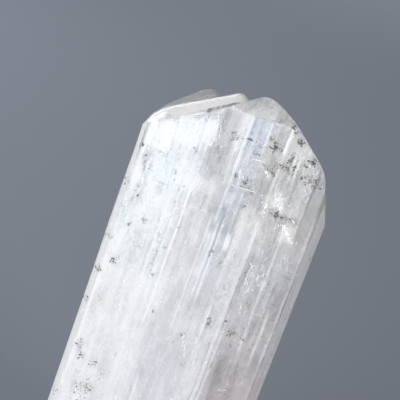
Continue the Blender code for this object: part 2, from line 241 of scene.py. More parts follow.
# The front's own look ends at this Y. Right of STRIP_X, stains, painted tints and detail go on back to the
# strip's own end.
FRONT_END, STRIP_X, STRIP_END, END_FADE = -6.9, 11.1, -4.3, 0.5
STAIN_AND_LIGHT_RANGE = (0.3, 1.04)
# Partly the crystal's own milkiness and partly painted light: the front is whiter towards the left, where the
# light falls from, and some narrow strips paint highlights along ridges.
MILK_ZONES = (
    (-13, -4.7, 34, 62, 1.2, 8, 0.06),
    (-9.8, -7, 35.8, 47.4, 0.3, 0.3, 0.06),
    (-13, -4, -2, 35.8, 2.5, 1, 0.1),
    (-7.1, -6.4, 44, 50, 0.1, 1.5, 0.12),
    (0, 0.9, 47.7, 49.2, 0.12, 0.15, 0.12),
    (-0.75, 0.3, 38, 46.5, 0.12, 0.6, 0.05),
    (1.6, 2.15, 42.2, 44.2, 0.2, 0.6, 0.3),
    (-4.6, -1.5, 50, 59.4, 0.9, 1.5, -0.2),
    (-2.5, 5, 59.7, 64, 0.6, 0.3, -0.18),
    (-0.6, 2.2, 44, 59.6, 0.3, 0.3, -0.14),
    (2.4, 4.5, 48.5, 59.4, 0.4, 1, -0.18),
    (4.52, 4.74, 56.2, 59.5, 0.12, 0.3, 0.22),
    (4.62, 4.76, 48, 54.4, 0.1, 0.3, 0.08),
    (4.45, 5, 47, 56.2, 0.2, 0.5, -0.13),
    (-13.5, -11.9, 50, 54.5, 0.5, 1.5, -0.25),
    (-13, -4.7, 49.5, 58, 1, 1, -0.06),
    (4.6, 4.82, 22, 48, 0.3, 6, 0.08),
    (5.1, 14, 34, 62, 0.6, 8, -0.18),
    (5.3, 14, -2, 34, 1.6, 8, -0.2),
    (-11.58, -8.55, 51.5, 55.1, 0.1, 0.3, 0.18),
    (-8.43, -5.27, 53, 56.4, 0.1, 0.3, 0.16),
    (-6.12, -4.3, 51.2, 53.3, 0.08, 0.3, -0.04),
    (-4.18, -2.48, 51.5, 54.1, 0.1, 0.3, -0.05),
    (-3.1, -1.7, 50.5, 56.5, 0.4, 1, -0.04),
    (-5.27, -3.8, 54.1, 57.1, 0.08, 0.3, 0.18),
    (-3.57, -2.84, 55.9, 59, 0.08, 0.3, -0.1),
    (-2.84, -1.02, 56.4, 59, 0.08, 0.3, -0.04),
    (-8.9, -7.34, 47.8, 50.6, 0.08, 0.3, 0.04),
    (-8.43, -7.34, 45.9, 47.5, 0.08, 0.3, -0.12),
    (-12.4, -11, 46.6, 49.2, 0.08, 0.3, 0.12),
    (2.74, 4.45, 50.5, 53.3, 0.1, 0.3, -0.05),
    (9.4, 11.4, 46.1, 53, 0.1, 0.5, -0.06),
    (-13.2, -10, 34, 48, 1, 2, 0.08),
    (0, 3.3, 33, 41, 0.6, 3, -0.05),
    (1.6, 4.9, 41, 50, 0.5, 3, -0.06),
    (5.3, 7.2, 34.5, 38.5, 0.5, 1.5, 0.05),
    (8.5, 11, 28, 36, 0.8, 3, -0.08),
    (5.4, 6.9, 50.5, 53.5, 0.3, 0.6, -0.1),
    (-1.5, -0.6, 45, 54, 0.4, 2, -0.08),
    (5.4, 9, 46.5, 49.5, 0.5, 1.5, -0.06),
    (6.8, 9.2, 18, 29, 0.6, 3, -0.08),
    (7.4, 9.3, 45.7, 47.9, 0.8, 0.9, 0.22),
    (5.4, 6.6, 49.3, 51.4, 0.6, 0.8, 0.18),
    (3.4, 4.2, 52.4, 53.5, 0.4, 0.5, 0.2),
    (-4.6, 4.5, 55, 59.4, 0.4, 1, 0.05),
    (4.5, 9, 55, 58.5, 1, 1, 0.06),
    (-4, 0, 10, 36, 1, 3, -0.04),
    (-5.2, 1.5, 38.5, 49, 2, 4, -0.06),
    (9.3, 11.6, 36, 56, 0.5, 2, -0.08),
    (-13.2, -11.6, 5, 45, 0.5, 4, 0.08),
    (10.9, 11.3, -2, 50, 0.1, 2, 0.12),
)
# Stains and painted light: the first two rows paint a bluish sheen, a painted reflection, on the middle of
# the front; the third paints cool light on the left side; the others tint the colour.
STAIN_AND_LIGHT_ZONES = (
    (-0.5, 2.1, 55.5, 59.6, 0.25, 0.3, (-0.1, -0.06, 0.01)),
    (-0.6, 2.1, 38, 55.5, 0.4, 3, (-0.055, -0.03, 0)),
    (-13, -4.7, 34, 62, 1.2, 3, (-0.05, -0.015, -0.015)),
    (-13, 4, -2, 32, 3, 14, (-0.02, -0.02, 0)),
    (5.2, 14, -2, 34, 2, 10, (-0.01, -0.055, -0.05)),
    (7, 14, -2, 26, 2, 8, (0, -0.04, -0.06)),
    (2.4, 12, 45, 60, 0.5, 5, (0, -0.02, -0.06)),
    (-4.6, -0.6, 48, 60, 0.5, 5, (0, -0.01, -0.04)),
    (-6.12, -4.3, 51.2, 53.3, 0.08, 0.3, (-0.03, -0.025, 0)),
    (-3.1, -1.7, 50.5, 56.5, 0.4, 1, (-0.01, -0.025, -0.04)),
    (-3.57, -2.84, 55.9, 59, 0.08, 0.3, (-0.02, -0.04, -0.06)),
    (-8.9, -7.34, 47.8, 50.6, 0.08, 0.3, (-0.06, -0.01, 0)),
    (-8.43, -7.34, 45.9, 47.5, 0.08, 0.3, (-0.03, 0, 0)),
    (2.45, 4.45, 53.4, 57.8, 0.3, 0.6, (-0.03, -0.045, -0.09)),
    (5.7, 7.3, 52.7, 56.2, 0.4, 0.8, (-0.03, -0.02, -0.05)),
)
DETAIL_ZONES = (
    (-14, 14, 47, 64, 1, 6, 0.14),
    (-14, -4.7, 36, 50, 1, 1, 0.22),
    (-14, -4.7, 50, 60, 1, 1, 0.1),
    (4, 9, 45, 51, 1, 1.5, 0.05),
    (2.5, 9.5, 27, 45, 1, 3, 0.07),
    (-1.5, 4.5, 59.6, 64, 0.5, 0.5, -0.15),
    (-14, -6, 14, 33, 1, 3, 0.06),
    (-2.84, -1.02, 56.4, 59, 0.08, 0.3, -0.25),
    (11.1, 14, -2, 60, 0.3, 0.3, 0.15),
    (2.74, 4.45, 50.5, 53.3, 0.1, 0.3, -0.2),
    (9.4, 11.4, 46.1, 53, 0.1, 0.5, -0.3),
    (4.9, 6.6, 57.5, 59.4, 0.1, 0.3, -0.3),
)
# Bright and dark threads along the growth steps of the front, partly the crystal's own white lines and partly
# painted highlight and shade of the step edges: X, width, Z low and high in millimetres, and strength
LINE_SOFT_X, LINE_SOFT_Z = 0.08, 1.2
LINES = (
    (-4.42, 0.22, 29.5, 48.5, 1),
    (-4.4, 0.2, 48.5, 54, 0.3),
    (-4.2, 0.35, 56.3, 59.3, 0.3),
    (-1.02, 0.25, 50, 56, 0.25),
    (-0.93, 0.2, 30, 45.5, 0.5),
    (-0.3, 0.35, 45, 59.3, 0.5),
    (0.13, 0.14, 53, 59.3, -0.3),
    (0.13, 0.25, 35, 45.5, 0.4),
    (0.43, 0.18, 38.5, 47, -0.3),
    (0.43, 0.18, 33, 38.5, -0.18),
    (0.68, 0.2, 35, 45.5, 0.5),
    (1.75, 0.25, 41, 50, 0.3),
    (2.19, 0.25, 56.2, 59.3, 0.4),
    (2.56, 0.25, 56.2, 59.3, -0.15),
    (3.1, 0.3, 56.2, 59.3, 0.15),
    (3.47, 0.25, 56.2, 59.3, -0.15),
    (4.38, 0.2, 56.2, 59.3, -0.25),
    (4.35, 0.2, 45, 56, -0.08),
    (5.15, 0.25, 50, 59, -0.12),
    (5.84, 0.2, 53.2, 56, -0.36),
    (6.2, 0.2, 52.8, 56.2, 0.45),
    (6.5, 0.18, 53.2, 56, -0.45),
    (6.8, 0.2, 52.8, 56, 0.45),
    (6.85, 0.25, 46, 50, 0.4),
    (-8.98, 0.18, 53.5, 56, -0.18),
    (-8.3, 0.12, 51.2, 53.4, -0.35),
    (-7.45, 0.22, 45.5, 50, 0.4),
    (-7.2, 0.18, 45.5, 50, -0.23),
    (-6.85, 0.22, 35, 45.5, -0.23),
    (-6.5, 0.25, 35, 50, 0.4),
    (-5.68, 0.2, 35, 50, -0.2),
    (-5.45, 0.22, 35, 50, 0.4),
    (2.35, 0.22, 40, 45.5, -0.23),
    (2.85, 0.2, 30, 35, 0.45),
    (3.12, 0.2, 30, 35, -0.27),
    (4.25, 0.2, 40.5, 45.5, -0.23),
    (5.05, 0.2, 22, 45, -0.27),
    (5.3, 0.35, 20, 35, 0.25),
    (4.35, 0.25, 18, 30, -0.23),
    (7.96, 0.25, 30, 50, 0.4),
    (9.36, 0.22, 30, 40, -0.23),
    (9.8, 0.3, 29, 36, 0.5),
    (-10.6, 0.2, 45.5, 50, -0.23),
    (-10.25, 0.2, 45.5, 50, 0.35),
    (-10.13, 0.2, 40, 45.5, -0.18),
    (-11.5, 0.25, 50, 53, 0.5),
    (-11.5, 0.3, 18, 35, 0.5),
    (-8.2, 0.25, 4, 26, -0.18),
    (-2.6, 0.25, 3, 22, 0.5),
    (1.3, 0.2, 2, 20, -0.23),
    (6.9, 0.3, 1, 17, 0.3),
    (11.15, 0.35, 30, 53, 0.25),
)
LINE_MILK, LINE_SHADE = 0.32, 0.06  # what a line of strength one adds to the milk and to the colour
# The top behind the front face, in millimetres, and how much milkier and more mottled it is
BAND_FRONT, TOP_FOOT, TOP_SOFT, TOP_MILK, TOP_DETAIL = -7.25, 53.5, 1.0, 0.12, 0.16
# The groove between the crest and the lobes behind it, where shade is painted in: its ends along X, Y and Z,
# in millimetres
GROOVE = ((-5.8, -1.2), (-7.3, -6.9), (57.0, 63.0))
# Painted shade in the groove: how much clearer the glass is made there, and the grey painted over it
GROOVE_SHADE_MILK, GROOVE_SHADE_COLOUR = -0.6, (0.58, 0.58, 0.58, 1.0)
# What the grains of each kind (0 grey, 1 olive, 2 brown) do to red, green and blue round a cluster of them,
# and how fast that falls off with distance
CLUSTER_STAINS = ((-0.065, -0.06, -0.065), (-0.07, -0.067, -0.10), (-0.07, -0.105, -0.11))
STAIN_FALL = 0.7

# Flashes and grains were placed on the picture, so they are kept as pixels and worked out from the
# camera. U and V are pixels right of and down from PICK_ZERO, in the picture turned upright.
PICK_ZERO = (258, 96)
PIXEL_X = round(1 / PX_PER_MM, 3)  # millimetres along X that a pixel shows
PIXEL_Z = round(1 / PX_PER_MM / math.cos(ELEVATION), 3)  # millimetres along Z that a pixel shows

# White cleavage flashes in the front of the crystal: U and V of the two ends and the width in pixels
PICKED_FLASHES = (
    (51.5, 167, 51.3, 185, 1.2),
    (55, 159, 51.5, 167, 1),
    (62.3, 152, 62.5, 162, 1.1),
    (62.5, 162, 61.6, 174, 1.1),
    (58.6, 182, 56.3, 189, 1.4),
    (61, 180, 62, 184, 0.8),
    (66, 166, 64.5, 170, 0.8),
    (54, 83.5, 56, 97, 2),
    (38.5, 91.5, 38.7, 93, 1.4),
    (39.7, 97, 40, 98.4, 1.5),
    (60, 100, 61, 102.5, 2),
    (76.5, 106, 77.5, 108, 2),
    (81, 109, 81.8, 110.5, 1.3),
    (69, 112.5, 80.5, 127, 5),
    (33, 104, 33.4, 105.5, 1.2),
    (51, 103.3, 51.4, 104.5, 1.1),
    (57.5, 95, 63, 99, 1.5),
    (44.4, 96, 46, 112, 1.8),
    (9, 75, 11.5, 92, 1.2),
    (12, 80, 15, 84, 0.8),
    (26, 63, 30, 68, 1.2),
    (33, 68, 38.5, 74, 2),
    (-30, 30, -28, 46, 1.2),
    (-25, 40, -22, 52, 1),
    (-55, 42, -50, 58, 0.8),
    (12, 249, 15, 262, 1.8),
    (16, 258, 20, 272, 1.4),
    (30, 262, 31, 275, 1.2),
    (62, 290, 72, 287, 0.9),
    (-38, 60, -36, 80, 1),
    (44, 120, 45.5, 150, 1.1),
    (55, 200, 57, 212, 0.9),
)
LAST_FLASH = (80, 140, 82, 147, 1)
# Flashes placed on the crystal itself: X and Z of the two ends and the width, in millimetres
PLACED_FLASHES = (
    (0.8, 54.2, 3.0, 54.4, 0.16),
    (-0.3, 50.3, 3.1, 50.4, 0.16),
    (0.0, 48.1, 1.2, 48.2, 0.14),
    (5.5, 51.2, 5.8, 49.6, 0.3),
    (6.0, 50.6, 6.5, 49.4, 0.3),
    (5.6, 41.6, 6.4, 40.2, 0.09),
    (6.4, 40.6, 7.4, 39.2, 0.08),
    (7.2, 42.0, 7.7, 40.2, 0.09),
    (5.6, 39.6, 6.8, 38.2, 0.08),
    (6.1, 41.0, 6.0, 39.0, 0.08),
)
# A flash is a row of flakes. In millimetres: how far a flake reaches above and below the surface, how far
# apart they are and the range of their lengths. Their widths and scatter are shares of the flash's width.
FLAKE_HEIGHT, FLAKE_ROOT, FLAKE_SPACING, FLAKE_LENGTHS = 0.025, 0.05, 0.11, (0.2, 0.55)
FLAKE_WIDTHS, FLAKE_SCATTER, FLAKE_TURN = (0.35, 0.9), 0.35, 0.5

# Clusters of dark mineral grains on the front: U and V of the middle, how many, how far they scatter along U
# and along V, the size of a grain, all in pixels, and its colour (0 grey, 1 olive, 2 brown)
UPRIGHT_CLUSTERS = (
    (35, 42, 26, 3.7, 3.1, 0.51, 0),
    (57, 29, 20, 2.5, 2.65, 0.46, 2),
    (75, 43, 18, 2.3, 2.8, 0.51, 0),
    (27, 35, 8, 2, 2.5, 0.4, 1),
    (43, 18, 9, 3, 2, 0.4, 2),
    (48, 21, 7, 3, 2, 0.4, 0),
    (84, 62, 20, 6, 5, 0.43, 0),
    (79, 60, 10, 5, 5, 0.35, 1),
    (53, 46, 8, 2, 3, 0.4, 1),
    (51, 51, 9, 2, 2.5, 0.4, 0),
    (48, 57, 14, 4, 3, 0.4, 1),
    (54, 58, 14, 2, 4, 0.45, 0),
    (59, 58, 12, 1, 5, 0.4, 0),
    (70, 62, 10, 4, 3, 0.35, 2),
    (40, 68, 12, 4, 3, 0.4, 0),
    (40, 60, 8, 4, 3, 0.35, 1),
    (69, 50, 8, 3, 2, 0.4, 0),
    (-8, 47, 16, 5, 3, 0.45, 0),
    (7, 44, 14, 4, 0.5, 0.4, 0),
    (18, 85, 12, 3, 4, 0.45, 1),
    (16, 55, 14, 5, 5, 0.35, 0),
    (5, 83, 8, 3, 3, 0.4, 0),
    (26, 92, 10, 3, 3, 0.4, 1),
    (10, 96, 5, 3, 2, 0.3, 0),
    (58, 106, 16, 3, 4, 0.5, 0),
    (66, 106, 16, 5, 1.5, 0.4, 1),
    (25, 109, 8, 3, 2, 0.35, 0),
    (21, 85, 18, 6, 12, 0.3, 0),
    (-92, 85, 8, 2, 2, 0.4, 1),
)
# More of them, with the middle as a pixel of the picture as it is
PICTURE_CLUSTERS = (
    (126, 180, 8, 3, 3, 0.4, 0),
    (139, 185, 6, 3, 3, 0.35, 0),
    (137, 198, 8, 3, 4, 0.4, 0),
    (144, 155, 6, 2, 3, 0.35, 1),
    (174, 171, 5, 2, 2, 0.35, 0),
    (129, 224, 8, 3, 3, 0.4, 1),
    (144, 220, 5, 2, 2, 0.35, 0),
    (109, 235, 8, 4, 3, 0.45, 1),
    (113, 260, 10, 3, 4, 0.45, 1),
    (98, 268, 14, 3, 3, 0.5, 2),
    (153, 275, 5, 2, 2, 0.35, 0),
    (163, 247, 4, 2, 2, 0.35, 0),
    (179, 228, 4, 2, 2, 0.3, 0),
    (157, 252, 4, 2, 3, 0.3, 0),
    (154, 310, 6, 2, 4, 0.35, 0),
    (86, 298, 8, 3, 4, 0.4, 1),
    (80, 345, 16, 4.1, 5.5, 0.38, 1),
    (81, 355, 12, 3, 4, 0.45, 0),
    (94, 363, 8, 4, 3, 0.4, 1),
    (84, 387, 46, 11.15, 8.2, 0.36, 1),
    (56, 390, 6, 3, 3, 0.4, 0),
    (211, 251, 6, 2, 3, 0.35, 0),
    (220, 264, 6, 2, 3, 0.35, 0),
    (209, 323, 14, 2, 4, 0.4, 0),
    (226, 321, 2, 0.5, 0.5, 0.6, 0),
    (230, 333, 18, 5, 3, 0.35, 1),
    (242, 340, 5, 2, 1, 0.45, 0),
    (231, 346, 5, 2, 2, 0.4, 0),
    (209, 367, 5, 2, 3, 0.4, 1),
    (183, 335, 6, 2, 3, 0.35, 0),
    (182, 365, 5, 3, 3, 0.3, 0),
    (269, 283, 5, 1, 2, 0.35, 0),
    (275, 301, 7, 1, 5, 0.3, 0),
    (277, 217, 8, 3, 3, 0.3, 0),
    (309, 260, 5, 1.5, 3, 0.4, 0),
    (313, 163, 9, 3, 2, 0.4, 0),
    (301, 141, 5, 2, 2, 0.35, 1),
    (295, 129, 5, 2, 2, 0.35, 0),
    (316, 185, 7, 2, 3, 0.35, 1),
    (287, 278, 6, 4, 1, 0.35, 0),
    (160, 120, 6, 4, 2, 0.35, 0),
    (196, 150, 5, 3, 3, 0.35, 0),
    (150, 168, 7, 4, 6, 0.3, 0),
    (120, 210, 9, 6, 8, 0.3, 0),
    (100, 300, 9, 5, 9, 0.3, 1),
    (175, 190, 8, 8, 8, 0.3, 0),
    (204.8, 200, 8, 6, 8, 0.3, 0),
    (190, 300, 8, 10, 12, 0.3, 0),
    (240, 280, 8, 8, 12, 0.3, 0),
)
GRAIN_SHARE = 1.7  # how many grains there are in a cluster for each one counted
GRAIN_SIZES = (0.9, 1.1, 1.4, 1.8, 2.4)  # against the cluster's own grain size
GRAIN_SCATTER = 0.65  # spread of the grains against the cluster's own
GRAIN_SQUASH, GRAIN_FLATNESS, GRAIN_SINK = (0.6, 1.4), 0.6, 0.25
GRAIN_ROUGHNESS = (0.7, 1.2)  # how far its corners move in and out
# Stray grains on the other faces: how many groups, the bearings and heights that they are on, how many are in
# a group, how far those scatter and how large they are, in degrees and millimetres
STRAY_GROUPS, STRAY_BEARINGS, STRAY_HEIGHTS = 90, (20, 340), (0.5, 56)
STRAY_COUNTS, STRAY_SCATTER, STRAY_SIZES, STRAY_KINDS = (1, 2, 3, 7), 0.35, (0.04, 0.13), (0, 0, 1, 2)
STRAY_START, STRAY_X, STRAY_Y = 30, 9, 4  # how far out the ray to a group starts, and how far it is shifted


# ---- camera, light and floor


def make_camera():
    """The camera, turned by ROLL so that the upright crystal leans in the picture."""
    forward = Vector((0, math.cos(ELEVATION), -math.sin(ELEVATION)))
    right = Vector((1, 0, 0))
    up = right.cross(forward)
    image_right = right * math.cos(ROLL) + up * math.sin(ROLL)
    image_up = up * math.cos(ROLL) - right * math.sin(ROLL)
    data = bpy.data.cameras.new("camera")
    data.sensor_width = SENSOR
    data.lens = SENSOR * DISTANCE / MM * PX_PER_MM / IMAGE_PX
    data.clip_start = 0.01
    camera = bpy.data.objects.new("camera", data)
    bpy.context.scene.collection.objects.link(camera)
    turn = Matrix((image_right, image_up, -forward)).transposed().to_4x4()
    camera.matrix_world = Matrix.Translation(TARGET - forward * DISTANCE) @ turn
    bpy.context.scene.camera = camera


def link(name, mesh):
    """Puts a mesh in the scene as an object."""
    obj = bpy.data.objects.new(name, mesh)
    bpy.context.scene.collection.objects.link(obj)
    return obj


def area_light(name, spot, aim, size, power, color):
    """A softbox, which the camera sees only as a reflection or through the crystal."""
    data = bpy.data.lights.new(name, "AREA")
    data.shape = "RECTANGLE"
    data.size, data.size_y = size
    data.energy = power
    data.color = color
    lamp = bpy.data.objects.new(name, data)
    bpy.context.scene.collection.objects.link(lamp)
    turn = (Vector(aim) - Vector(spot)).to_track_quat("-Z", "Y")
    lamp.matrix_world = Matrix.Translation(spot) @ turn.to_matrix().to_4x4()
    lamp.visible_camera = False
    return lamp


def make_studio():
    """Even light from all round and five softboxes."""
    world = bpy.data.worlds.new("studio")
    bpy.context.scene.world = world
    world.use_nodes = True
    sky = world.node_tree.nodes["Background"]
    sky.inputs["Color"].default_value = SKY_COLOUR
    sky.inputs["Strength"].default_value = SKY_STRENGTH
    for name, softbox in SOFTBOXES.items():
        area_light(name, *softbox)


def floor_material():
    """Plain matt grey."""
    material = bpy.data.materials.new("floor")
    material.use_nodes = True
    shader = material.node_tree.nodes["Principled BSDF"]
    shader.inputs["Base Color"].default_value = FLOOR_COLOUR
    shader.inputs["Roughness"].default_value = FLOOR_ROUGHNESS
    return material


def make_floor():
    """A plain grey floor that curves up into a backdrop all round."""
    bm = bmesh.new()
    profile = [bm.verts.new((radius, 0, height)) for radius, height in FLOOR_RINGS]
    edges = [bm.edges.new(pair) for pair in zip(profile, profile[1:])]
    bmesh.ops.spin(
        bm,
        geom=profile + edges,
        cent=(0, 0, 0),
        axis=(0, 0, 1),
        angle=math.tau,
        steps=FLOOR_SEGMENTS,
        use_merge=True,
    )
    bmesh.ops.remove_doubles(bm, verts=bm.verts, dist=1e-5)
    mesh = bpy.data.meshes.new("floor")
    bm.to_mesh(mesh)
    bm.free()
    mesh.shade_smooth()
    mesh.materials.append(floor_material())
    link("floor", mesh)


# ---- the crystal's mesh


def bearing(angle):
    """The horizontal direction of a bearing in degrees from the front face, positive to the right."""
    return Vector((math.sin(math.radians(angle)), -math.cos(math.radians(angle))))


def prism_corners():
    """The corner between each prism face and the next, in millimetres."""
    corners = []
    for here, after in zip(PRISM_FACES, PRISM_FACES[1:] + PRISM_FACES[:1]):
        first, second = bearing(here[1]), bearing(after[1])
        reach_first, reach_second = first.dot(Vector(here[2])), second.dot(Vector(after[2]))
        x = (reach_first * second.y - reach_second * first.y) / first.cross(second)
        y = (reach_second * first.x - reach_first * second.x) / first.cross(second)
        corners.append(Vector((x, y)))
    return corners


def mesh_columns():
    """Places round the prism, anticlockwise from above: face, distance along it, its length, point, in mm."""
    corners = prism_corners()
    columns = []
    for i, (_, angle, _, spacing) in enumerate(PRISM_FACES):
        start, end = corners[i - 1], corners[i]
        length = (end - start).length
        along = (end - start) / length
        next_angle = PRISM_FACES[(i + 1) % len(PRISM_FACES)][1]
        first = CORNER_RADIUS * math.tan(math.radians((angle - PRISM_FACES[i - 1][1]) % 360) / 2)
        last = CORNER_RADIUS * math.tan(math.radians((next_angle - angle) % 360) / 2)
        count = max(2, round((length - first - last) / spacing))
        for k in range(count + 1):
            distance = first + (length - first - last) * k / count
            columns.append((i, distance, length, start + along * distance))
    return columns


def mesh_rows():
    """The heights of the mesh rows in mm, with a close pair wherever a growth plate ends."""
    heights = set(np.arange(0.0, UPPER_FOOT, LOWER_ROW).round(3))
    heights |= set(np.arange(UPPER_FOOT, LENGTH + SPARE, UPPER_ROW).round(3))
    ends = {round(z + d, 3) for p in FRONT_PLATES for z in p[2:4] for d in (-END_GAP, END_GAP)}
    crowded = {h for h in heights if h and any(abs(h - e) < CROWDED for e in ends)}
    return sorted((heights - crowded) | ends)


def soft_box(at, low, high, soft):
    """One between low and high and zero outside them, with a ramp of the given width at each end."""
    return np.clip((at - low) / soft + 0.5, 0, 1) * np.clip((high - at) / soft + 0.5, 0, 1)


def random_strips(rng, length, kinds):
    """Growth lines of random place, width and height: their ends across and along, rise and softness."""
    strips = []
    for per_mm, widths, rises, soft in kinds:
        for _ in range(round(length * per_mm)):
            width = rng.uniform(*widths)
            middle = rng.uniform(0, length)
            reach = rng.uniform(*GROWTH_REACH)
            height = rng.uniform(-GROWTH_OVERLAP, LENGTH + GROWTH_OVERLAP)
            rise = rng.choice((-1, 1)) * rng.uniform(*rises)
            low, high = height - reach / 2, height + reach / 2
            strips.append((middle - width / 2, middle + width / 2, low, high, rise, soft))
    return strips


def face_relief(i, length, along, heights, rng):
    """How far each point of a prism face stands out of it, in millimetres, and how milky its strips are."""
    out = np.zeros(np.broadcast(along, heights).shape)
    milk = np.zeros_like(out)
    # Every face draws the fine lines, also a coarse one that doesn't use them, and later draws rely on that.
    strips = random_strips(rng, length, GROWTH_LINES[FINE])
    if PRISM_FACES[i][3] == COARSE:
        strips = random_strips(rng, length, GROWTH_LINES[COARSE])
    for left, right, low, high, rise, soft in strips:
        shape = soft_box(along, left, right, soft) * soft_box(heights, low, high, GROWTH_END)
        out += shape * rise
        milk += shape * rng.uniform(-STRIP_MILK, STRIP_MILK)
    fade = np.clip(along / CORNER_FADE, 0, 1) * np.clip((length - along) / CORNER_FADE, 0, 1)
    return out * fade, milk


def front_profile(x, heights):
    """The growth steps and plates that cross the broad front, by X and height in millimetres."""
    out = np.zeros(np.broadcast(x, heights).shape)
    x = x + wobble(heights)
    for (left, step, gain), (right, _, _) in zip(FRONT_EDGES, FRONT_EDGES[1:]):
        share = np.clip((x - left) / (right - left), 0, 1)
        out += soft_box(x, left, right, STEP_SOFT) * (step + gain * share) * STEP_SHARE
    for left, right, low, high, rise, lean in FRONT_PLATES:
        share = np.clip((x - left) / (right - left), 0, 1)
        plate = soft_box(x, left, right, PLATE_SOFT_X) * soft_box(heights, low, high, PLATE_SOFT_Z)
        out += plate * (rise + lean * share)
    return out


def wobble(heights):
    """How far the growth lines wander sideways at each height, in millimetres."""
    return sum(amount * np.sin(heights * rate + phase) for amount, rate, phase in WOBBLE)


def zone_sum(x, heights, zones):
    """The sum of the soft-edged rectangles in a table, at each X and height in millimetres."""
    total = np.zeros(np.broadcast(x, heights).shape)
    x = x + wobble(heights)
    for left, right, low, high, soft_x, soft_z, amount in zones:
        total += soft_box(x, left, right, soft_x) * soft_box(heights, low, high, soft_z) * amount
    return total


def relief_grid():
    """Points of the striated prism, row by row from the base up, in millimetres."""
    rng = random.Random(8)
    columns = mesh_columns()
    heights = np.array(mesh_rows())
    points = np.zeros((len(heights), len(columns), 3))
    milk = np.zeros((len(heights), len(columns)))
    for i, (_, angle, _, _) in enumerate(PRISM_FACES):
        numbers = [n for n, column in enumerate(columns) if column[0] == i]
        along = np.array([columns[n][1] for n in numbers])[None, :]
        spots = np.array([columns[n][3] for n in numbers])
        length = columns[numbers[0]][2]
        out, strip_milk = face_relief(i, length, along, heights[:, None], rng)
        if PRISM_FACES[i][0].startswith("front"):
            x = spots[None, :, 0]
            left, right = (x - FRONT_LEFT) / FRONT_FADE, (FRONT_RIGHT - x) / FRONT_FADE
            ends = np.clip(left, 0, 1) * np.clip(right, 0, 1)
            out = out + front_profile(x, heights[:, None]) * ends
        outward = np.array(bearing(angle))
        points[:, numbers, :2] = spots[None] + out[:, :, None] * outward
        milk[:, numbers] = strip_milk
    points[:, :, 2] = heights[:, None]
    return points, milk


def prism_object():
    """The striated prism between flat ends as an object in millimetres."""
    points, milk = relief_grid()
    rows, columns = milk.shape
    faces = [tuple(reversed(range(columns))), tuple((rows - 1) * columns + c for c in range(columns))]
    for r in range(rows - 1):
        for c in range(columns):
            d = (c + 1) % columns
            faces.append((r * columns + c, r * columns + d, (r + 1) * columns + d, (r + 1) * columns + c))
    mesh = bpy.data.meshes.new("prism")
    mesh.from_pydata([tuple(p) for p in points.reshape(-1, 3)], [], faces)
    layer = mesh.attributes.new("strip_milk", "FLOAT", "POINT")
    layer.data.foreach_set("value", milk.ravel())
    return link("prism", mesh)


def cut(bm, point, normal):
    """Slices off what lies on the normal's side of a plane and closes the cut."""
    geometry = bm.verts[:] + bm.edges[:] + bm.faces[:]
    sliced = bmesh.ops.bisect_plane(
        bm, geom=geometry, dist=1e-5, plane_co=point, plane_no=normal, clear_outer=True
    )
    edges = [e for e in sliced["geom_cut"] if isinstance(e, bmesh.types.BMEdge)]
    bmesh.ops.holes_fill(bm, edges=edges, sides=0)
    bmesh.ops.recalc_face_normals(bm, faces=bm.faces)


def to_mesh(bm, name):
    """Turns a bmesh into a mesh and frees it."""
    mesh = bpy.data.meshes.new(name)
    bm.to_mesh(mesh)
    bm.free()
    return mesh


def bevel_ridges(bm, width):
    """Cuts a bevel of the given width along each ridge between the facets on top of a growth layer."""
    bevels = []
    for edge in bm.edges:
        first, second = (face.normal for face in edge.link_faces)
        if min(first.z, second.z) > FLATTEST_WALL:
            normal = (first + second).normalized()
            depth = width / 2 * math.tan(first.angle(second) / 2)
            bevels.append((edge.verts[0].co - normal * depth, normal))
    for point, normal in bevels:
        cut(bm, point, normal)


def make_layer(name, layer):
    """A block wider than the prism, cut by the facets and walls of one growth layer, in millimetres."""
    bm = bmesh.new()
    bmesh.ops.create_cube(bm, size=1.0)
    size = (BLOCK_WIDTH + 2 * SPARE, BLOCK_DEPTH + 2 * SPARE, LENGTH + 2 * SPARE)
    bmesh.ops.scale(bm, vec=size, verts=bm.verts)
    bmesh.ops.translate(bm, vec=(0, 0, LENGTH / 2), verts=bm.verts)
    for _, point, climb_right, climb_back in layer["facets"]:
        cut(bm, Vector(point), Vector((-climb_right, -climb_back, 1.0)).normalized())
    for angle, (x, y) in layer["walls"]:
        cut(bm, Vector((x, y, 0)), bearing(angle).to_3d())
    for width in (layer["rounding"], layer["rounding"] / 2, layer["rounding"] / 4):
        bevel_ridges(bm, width)
    return link(name, to_mesh(bm, name))


def boolean(obj, operation, operand):
    """Gives an object a Boolean modifier."""
    modifier = obj.modifiers.new(operation.lower(), "BOOLEAN")
    modifier.operation = operation
    modifier.solver = "EXACT"
    modifier.object = operand


def is_upright(face):
    """Whether a face belongs to the prism's sides and not to its ends."""
    return abs(face.normal.z) < UPRIGHT


def round_edges(bm):
    """Takes the sharpness off the ridges of the termination."""
    ridges = [e for e in bm.edges if len(e.link_faces) == 2 and e.calc_face_angle(0) > SHARP_EDGE]
    ridges = [e for e in ridges if not all(is_upright(f) for f in e.link_faces)]
    bmesh.ops.bevel(
        bm, geom=ridges, offset=EDGE_ROUNDING, segments=3, profile=0.5, affect="EDGES", clamp_overlap=True
    )


